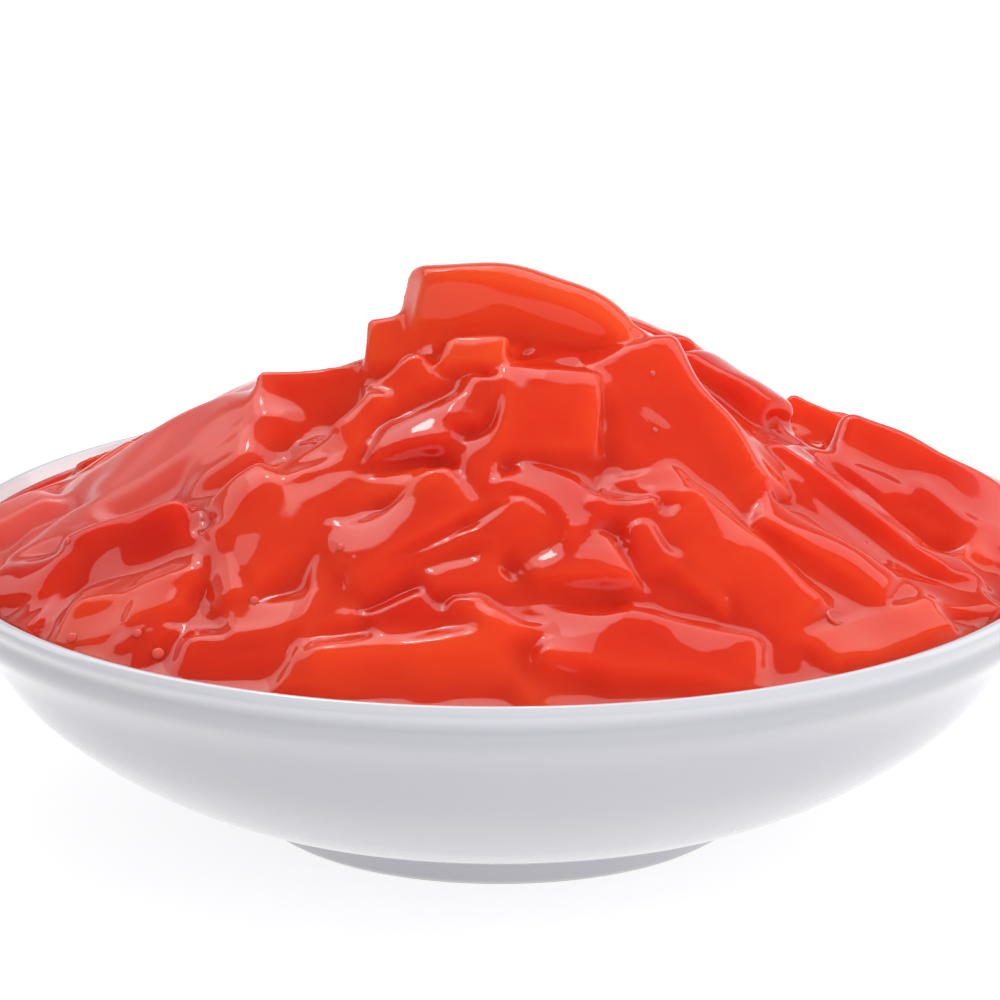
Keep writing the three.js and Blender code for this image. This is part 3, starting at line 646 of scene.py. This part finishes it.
FLANK = [
    (FOOT_RADIUS + 5.3, FOOT_HEIGHT + 0.2),
    (FOOT_RADIUS + 9.8, FOOT_HEIGHT + 1.1),
    (43.5, 9.7),
    (51.2, 15.7),
    (56.2, 22.5),
    (RIM_RADIUS - 0.7, DISH_HEIGHT - 4),
]


def bowl_face():
    """The bowl's inner face from its middle up to the lip: the flank's line moved inwards by the wall."""
    flank = spline(FLANK)
    direction = np.gradient(flank, axis=0)
    direction /= np.linalg.norm(direction, axis=1)[:, None]
    face = flank + WALL * np.stack([-direction[:, 1], direction[:, 0]], axis=1)
    return np.vstack([[(0, BOWL_FLOOR), (FOOT_RADIUS - 5, BOWL_FLOOR)], face])


def dish_profile():
    outside = spline([
        (FOOT_RADIUS + 0.6, 0.5),
        (FOOT_RADIUS + 1.6, 2.4),
        (FOOT_RADIUS + 2.9, FOOT_HEIGHT),
        *FLANK,
        (RIM_RADIUS - 0.5, DISH_HEIGHT - 2),
        (RIM_RADIUS, DISH_HEIGHT - 0.9),
        (RIM_RADIUS - 0.55, DISH_HEIGHT - 0.15),
        (RIM_RADIUS - 1.3, DISH_HEIGHT),
        (RIM_RADIUS - 1.9, DISH_HEIGHT - 0.6),
    ])
    inner_foot = FOOT_RADIUS - FOOT_WIDTH
    under = [(0, FOOT_RECESS), (inner_foot - 1.6, FOOT_RECESS), (inner_foot - 0.6, FOOT_RECESS - 0.5),
             (inner_foot, 0.3), (inner_foot + 0.4, 0), (FOOT_RADIUS - 0.2, 0)]
    return np.vstack([under, outside, bowl_face()[::-1]])


# ---- Shader maths ----

# Outputs of nodes that have several, by number.
ATTRIBUTE_FACTOR = 2
OBJECT_PLACE = 3
DIFFUSE_RAY = 2
GLOSSY_RAY = 3


class Value:
    """A shader socket that can be used in Python expressions."""

    def __init__(self, shader, socket):
        self.shader = shader
        self.socket = socket

    def _math(self, operation, *others):
        return self.shader.node("ShaderNodeMath", {"operation": operation}, self, *others)

    def __add__(self, other):
        return self._math("ADD", other)

    def __sub__(self, other):
        return self._math("SUBTRACT", other)

    def __mul__(self, other):
        return self._math("MULTIPLY", other)

    def __rmul__(self, other):
        return self * other

    def __rsub__(self, other):
        return self.shader.node("ShaderNodeMath", {"operation": "SUBTRACT"}, other, self)

    def clamped(self):
        return self.shader.node("ShaderNodeMath", {"operation": "ADD", "use_clamp": True}, self, 0.0)


class NodeMaker:
    """Makes the nodes of one tree by one method."""

    def __init__(self, tree):
        self.tree = tree

    def node(self, kind, settings=None, *inputs, output=0, **named):
        made = self.tree.nodes.new(kind)
        for key, value in (settings or {}).items():
            setattr(made, key, value)
        for key, value in [*enumerate(inputs), *named.items()]:
            self.feed(made.inputs[key], value)
        return Value(self, made.outputs[output])

    def feed(self, socket, value):
        if isinstance(value, Value):
            self.tree.links.new(value.socket, socket)
        else:
            socket.default_value = value


class Shader(NodeMaker):
    """A material round one Principled shader."""

    def __init__(self, name):
        self.material = bpy.data.materials.new(name)
        self.material.use_nodes = True
        super().__init__(self.material.node_tree)
        self.surface = self.tree.nodes["Principled BSDF"]

    def set(self, **sockets):
        for key, value in sockets.items():
            self.feed(self.surface.inputs[key.replace("_", " ")], value)

    def attribute(self, name):
        return self.node("ShaderNodeAttribute", {"attribute_name": name}, output=ATTRIBUTE_FACTOR)

    def noise(self, scale, detail):
        coordinates = self.node("ShaderNodeTexCoord", output=OBJECT_PLACE)
        return self.node("ShaderNodeTexNoise", {}, Vector=coordinates, Scale=scale, Detail=detail,
                         Roughness=0.5)

    def mix(self, share, first, second):
        """A blend of two colours. The node's sockets for colours come after those for other types."""
        made = self.tree.nodes.new("ShaderNodeMix")
        made.data_type = "RGBA"
        self.feed(made.inputs[0], share)
        for socket, value in ((made.inputs[6], first), (made.inputs[7], second)):
            self.feed(socket, value if isinstance(value, Value) else (*value, 1.0))
        return Value(self, made.outputs[2])

    def bump(self, height, distance, strength):
        return self.node("ShaderNodeBump", {}, Height=height, Distance=distance, Strength=strength)


def dress(obj, shader):
    obj.data.materials.clear()
    obj.data.materials.append(shader.material)


# ---- Materials ----

# Where the dish's look changes, in metres. Each FADE is 1 over the width that the change takes up.
BARE_TOP = 1.2             # top of the unglazed foot's edge, in such widths
BARE_FADE = 4000
# Above LIP_HEIGHT the glaze is painted lighter: painted light on the rim's top, where light falls.
LIP_HEIGHT = 0.0276
LIP_FADE = 900
# Inside INNER_LIP_RADIUS, on the lip, the glaze is painted nearly white: painted light on the rim's inner
# side, which lies in shade.
INNER_LIP_RADIUS = 0.0588
INNER_LIP_FADE = 2000


def jelly_material():
    shader = Shader("red_jelly")
    tone = shader.attribute("tone")
    hollow = shader.attribute("hollow")
    # thin drives painted light: brighter orange where the jelly is thin.
    thin = shader.attribute("thin")
    painted_sheen = shader.attribute("painted_sheen")
    cloud = shader.noise(120, 2.0)
    deep = (0.69, 0.021, 0.010)
    bright = (1.0, 0.092, 0.022)
    sheen_pink = (0.88, 0.17, 0.15)
    # Painted light and shade: thin parts are coloured brighter orange, as if lit through, and creases
    # (hollow) darker, as if shaded.
    share = (tone * 0.5 + thin * 0.45 + (cloud - 0.5) * 0.4 - hollow * 0.45).clamped()
    ripple = shader.noise(300, 1.0)
    shader.set(
        # At the heap's ends the colour is mixed towards a pale pink, a painted sheen, and the roughness
        # rises.
        Base_Color=shader.mix(painted_sheen * 0.5, shader.mix(share, deep, bright), sheen_pink),
        Roughness=(painted_sheen * 0.2 + 0.045).clamped(),
        IOR=1.39,
        Subsurface_Weight=1.0,
        Subsurface_Radius=(8.0, 1.6, 0.8),
        Subsurface_Scale=MM,
        Normal=shader.bump(ripple, 0.00004, 0.3),
    )
    return shader


def syrup_material():
    shader = Shader("syrup")
    swirl = shader.noise(90, 2.0)
    ripple = shader.noise(160, 1.0)
    shader.set(
        Base_Color=shader.mix(swirl, (0.85, 0.028, 0.011), (0.87, 0.033, 0.013)),
        Roughness=0.03,
        IOR=1.38,
        Subsurface_Weight=1.0,
        Subsurface_Radius=(0.8, 0.3, 0.2),
        Subsurface_Scale=MM,
        Normal=shader.bump(ripple, 0.00006, 0.3),
    )
    return shader


def drop_material():
    """Drops are too small to scatter light inside as the strips do, so they show the strips' own red."""
    shader = Shader("syrup_drop")
    swirl = shader.noise(400, 1.0)
    shader.set(
        Base_Color=shader.mix(swirl, (0.84, 0.10, 0.075), (0.88, 0.13, 0.10)),
        Roughness=0.04,
        IOR=1.39,
    )
    return shader


def glaze_material():
    shader = Shader("white_glaze")
    cloud = shader.noise(45, 3.0)
    pool = shader.noise(700, 2.0)
    place = shader.node("ShaderNodeTexCoord", output=OBJECT_PLACE)
    x, y, height = (shader.node("ShaderNodeSeparateXYZ", {}, place, output=i) for i in range(3))
    radius = shader.node("ShaderNodeMath", {"operation": "SQRT"}, x * x + y * y)
    bare = (BARE_TOP - height * BARE_FADE).clamped()
    # lip: painted light, the glaze is coloured lighter on the rim's top.
    lip = ((height - LIP_HEIGHT) * LIP_FADE).clamped()
    # inner lip: painted light, nearly white glaze where the rim's inner side is shaded.
    painted_inner_lip_light = lip * ((INNER_LIP_RADIUS - radius) * INNER_LIP_FADE).clamped()
    glaze = shader.mix(cloud, (0.57, 0.565, 0.61), (0.60, 0.595, 0.63))
    glaze = shader.mix(lip, glaze, (0.74, 0.735, 0.775))
    glaze = shader.mix(painted_inner_lip_light, glaze, (0.92, 0.92, 0.93))
    shader.set(
        Base_Color=shader.mix(bare, glaze, (0.55, 0.53, 0.50)),
        Roughness=(pool * 0.08 + 0.10 + bare * 0.6).clamped(),
        IOR=1.5,
        Coat_Weight=0.5 - bare * 0.5,
        Coat_Roughness=0.05,
        Normal=shader.bump(cloud, 0.0002, 0.25),
    )
    return shader


def floor_material():
    """A white table that glows, but lights the dish above it a little less than it looks."""
    shader = Shader("white_table")
    cloud = shader.noise(6, 2.0)
    scattered = shader.node("ShaderNodeLightPath", output=DIFFUSE_RAY)
    shader.set(
        Base_Color=shader.mix(cloud, (0.40, 0.40, 0.405), (0.43, 0.43, 0.435)),
        Roughness=0.9,
        Emission_Color=shader.mix(scattered, (1.0, 1.0, 1.0), (0.70, 0.70, 0.70)),
        Emission_Strength=0.75,
    )
    return shader


# ---- Building the pieces ----

def build_dish():
    dish = lathe("dish_glazed", dish_profile(), FINE_TURNS)
    dress(dish, glaze_material())
    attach(dish, BODY)
    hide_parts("dish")


SYRUP_INNER = 46.0         # inner edge of the ring of syrup, under the jelly's skirt
SYRUP_DEPTH = 3.0
SYRUP_CLIMB = 0.8          # how far past SYRUP_EDGE the syrup reaches as it climbs the dish


def build_syrup():
    wall = SYRUP_EDGE + SYRUP_CLIMB
    bottom = SYRUP_LEVEL - SYRUP_DEPTH
    profile = [
        (SYRUP_INNER, bottom),
        (SYRUP_INNER, SYRUP_LEVEL),
        (SYRUP_EDGE - 1.2, SYRUP_LEVEL),
        (SYRUP_EDGE - 0.5, SYRUP_LEVEL + 0.04),
        (SYRUP_EDGE + 0.1, SYRUP_LEVEL + 0.16),
        (wall - 0.1, SYRUP_LEVEL + 0.42),
        (wall, SYRUP_LEVEL + 0.2),
        (wall - 2.2, bottom),
        (SYRUP_INNER, bottom),
    ]
    syrup = lathe("syrup_pool", profile[::-1], FINE_TURNS)
    dress(syrup, syrup_material())
    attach(syrup, BODY)
    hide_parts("syrup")


def build_heap(field, jelly):
    heap = heap_mesh(field)
    dress(heap, jelly)
    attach(heap, BODY)
    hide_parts("jelly_heap")


UNDERSIDE_RADIUS = 53.0
UNDERSIDE_DEPTH = 0.8      # of its flat top under the syrup's level
UNDERSIDE_GAP = 0.4        # between it and the bowl's face,
UNDERSIDE_EDGE_GAP = 0.5   # and at its edge
UNDERSIDE_LOOK = 0.3       # its tone and its other attributes, none of which shows


def build_heap_underside(jelly):
    """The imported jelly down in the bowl, a little off its face, up to just below the syrup's level."""
    radius, height = bowl_face().T
    top = SYRUP_LEVEL - UNDERSIDE_DEPTH
    edge = UNDERSIDE_RADIUS
    bottom = [(r, h + UNDERSIDE_GAP) for r, h in zip(radius, height) if r < edge]
    corner = (edge, float(np.interp(edge, radius, height)) + UNDERSIDE_EDGE_GAP)
    under = lathe("jelly_packed_below", [*bottom, corner, (edge, top), (0, top)], HIDDEN_TURNS)
    for name in ("tone", "hollow", "thin", "painted_sheen"):
        store(under, name, np.full(len(under.data.vertices), UNDERSIDE_LOOK))
    dress(under, jelly)
    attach(under, BODY)
    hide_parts("jelly_heap")


def surface_height(field, x, y):
    """Height of the topmost jelly at (x, y)."""
    heights = np.arange(field.low[2] + CELL, HEAP_TOP + COLUMN_ABOVE, COLUMN_STEP)
    column = np.stack([np.full_like(heights, x), np.full_like(heights, y), heights], axis=1)
    return heights[field.sample(field.value, column) < 0].max()


def surface_place(field, x, y, reach):
    """Where the heap's wet surface lies above (x, y), and its mean upward normal within reach of there."""
    rise_x = (surface_height(field, x + reach, y) - surface_height(field, x - reach, y)) / (2 * reach)
    rise_y = (surface_height(field, x, y + reach) - surface_height(field, x, y - reach)) / (2 * reach)
    normal = np.array([-rise_x, -rise_y, 1.0])
    return np.array([x, y, surface_height(field, x, y)]), normal / np.linalg.norm(normal)


def build_drops(field):
    """Drops with round tops, and one burst bubble's raised ring, each square to the surface under it."""
    outline = np.array(DROP_OUTLINE)
    profiles = [(x, y, outline * radius) for x, y, radius in DROPS]
    x, y, radius = BUBBLE_RING
    bend = np.linspace(-0.5 * np.pi, 1.5 * np.pi, RING_CORNERS)
    section = [radius + RING_HALF_WIDTH * np.cos(bend), RING_HALF_HEIGHT * np.sin(bend)]
    profiles.append((x, y, np.stack(section, axis=1)))
    vertices, faces = [], []
    for x, y, profile in profiles:
        place, normal = surface_place(field, x, y, profile[:, 0].max())
        side = np.cross((0, 1, 0), normal)
        side /= np.linalg.norm(side)
        axes = np.array([side, np.cross(normal, side), normal])
        points, quads = turned(profile, DROP_TURNS)
        faces += [tuple(len(vertices) + corner for corner in quad) for quad in quads]
        vertices += list(np.array(points) @ axes + place)
    drops = new_mesh("syrup_drops", vertices, faces)
    dress(drops, drop_material())
    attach(drops, BODY)


TABLE_RADIUS = 900
TABLE_LEVEL = -0.02        # just under the foot
TABLE_TURNS = 96


def build_floor():
    floor = lathe("table", [(0, TABLE_LEVEL), (TABLE_RADIUS, TABLE_LEVEL)], TABLE_TURNS)
    for polygon in floor.data.polygons:
        polygon.use_smooth = False
    dress(floor, floor_material())


# ---- Camera and light ----

CAMERA_PITCH = 16.05            # degrees that the view looks down
CAMERA_DISTANCE = 600           # mm from the middle of the rim
FRAME_PIXELS = 1000
FOCAL_PIXELS = 5634
TARGET_ROW = 540.6              # where the middle of the rim lies in the frame
TARGET_COLUMN = 499.5
TARGET_DEPTH = 0.25             # of that middle under the dish's top
SENSOR_WIDTH = 36
CLIP_START = 0.01               # m


def build_camera():
    data = bpy.data.cameras.new("camera")
    data.sensor_width = SENSOR_WIDTH
    data.lens = FOCAL_PIXELS * data.sensor_width / FRAME_PIXELS
    data.shift_x = (FRAME_PIXELS / 2 - TARGET_COLUMN) / FRAME_PIXELS
    data.shift_y = (TARGET_ROW - FRAME_PIXELS / 2) / FRAME_PIXELS
    data.clip_start = CLIP_START
    camera = bpy.data.objects.new("camera", data)
    pitch = math.radians(CAMERA_PITCH)
    target = Vector((0, 0, DISH_HEIGHT - TARGET_DEPTH)) * MM
    back = Vector((0, -math.cos(pitch), math.sin(pitch)))
    camera.location = target + back * CAMERA_DISTANCE * MM
    camera.rotation_euler = (math.pi / 2 - pitch, 0, 0)
    bpy.context.scene.collection.objects.link(camera)
    bpy.context.scene.camera = camera


HEAP_MIDDLE = 0.04              # m, the height that the lamps are aimed at


def soft_box(name, place, size, radiance):
    """A rectangular lamp that only glossy faces show: at place (m), square to X and facing the heap."""
    data = bpy.data.lights.new(name, "AREA")
    data.shape = "RECTANGLE"
    data.size, data.size_y = size
    data.energy = radiance * math.pi * size[0] * size[1]
    lamp = bpy.data.objects.new(name, data)
    lamp.location = place
    lamp.visible_diffuse = False
    aim = Vector((place[0], 0, HEAP_MIDDLE)) - Vector(place)
    lamp.rotation_euler = aim.to_track_quat("-Z", "Y").to_euler()
    bpy.context.scene.collection.objects.link(lamp)


BAND_START = 1.15               # strength of the mirrored band at the horizon, cut off at 1,
BAND_FADE = 2.4                 # and how fast it fades upwards
BEHIND_GLOW = 0.75              # glow of the band behind the heap,
SIDE_GLOW = 0.35                # at its sides
ROOM_GLOW = 0.12                # and of the room all round
FILL = 0.44                    # soft light that glossy faces don't mirror, at the horizon
FILL_ABOVE = 0.88               # and how much more of it comes from straight above,
FILL_RIGHT = 0.47               # from the right
FILL_FRONT = 0.15               # and from the front


def studio_world():
    """A pale set: faces mirror a white band round the horizon, brightest behind, and a dim room above."""
    world = bpy.data.worlds.new("studio")
    world.use_nodes = True
    studio = NodeMaker(world.node_tree)
    direction = studio.node("ShaderNodeTexCoord")
    x, y, z = (studio.node("ShaderNodeSeparateXYZ", {}, direction, output=i) for i in range(3))
    mirrored = studio.node("ShaderNodeLightPath", output=GLOSSY_RAY)
    band = (BAND_START - BAND_FADE * z).clamped()
    behind_share = (y * 0.9 + 0.55).clamped()
    side_share = (x * x * 0.7 + x * 0.3 + 0.1).clamped()
    glow = band * (behind_share * BEHIND_GLOW + side_share * SIDE_GLOW) + ROOM_GLOW
    fill = z.clamped() * FILL_ABOVE + x * FILL_RIGHT - y * FILL_FRONT + FILL
    background = world.node_tree.nodes["Background"]
    background.inputs["Color"].default_value = (0.97, 0.975, 1.0, 1.0)
    studio.feed(background.inputs["Strength"], fill + (glow - fill) * mirrored)
    bpy.context.scene.world = world


def build_lights():
    soft_box("overhead", (-0.24, 0.372, 0.476), (0.92, 0.30), 1.4)
    soft_box("overhead_right", (0.44, 0.386, 0.462), (0.44, 0.254), 1.3)
    soft_box("overhead_middle", (-0.12, 0.33, 0.485), (0.34, 0.24), 0.95)
    soft_box("hot_spot", (-0.10, 0.31, 0.47), (0.05, 0.05), 11.0)
    studio_world()
    bpy.context.scene.view_settings.view_transform = "Standard"


build_camera()
build_dish()
build_syrup()
jelly_look = jelly_material()
wet_surface = HeapField(*all_strips())
build_heap(wet_surface, jelly_look)
build_heap_underside(jelly_look)
build_drops(wet_surface)
build_floor()
build_lights()
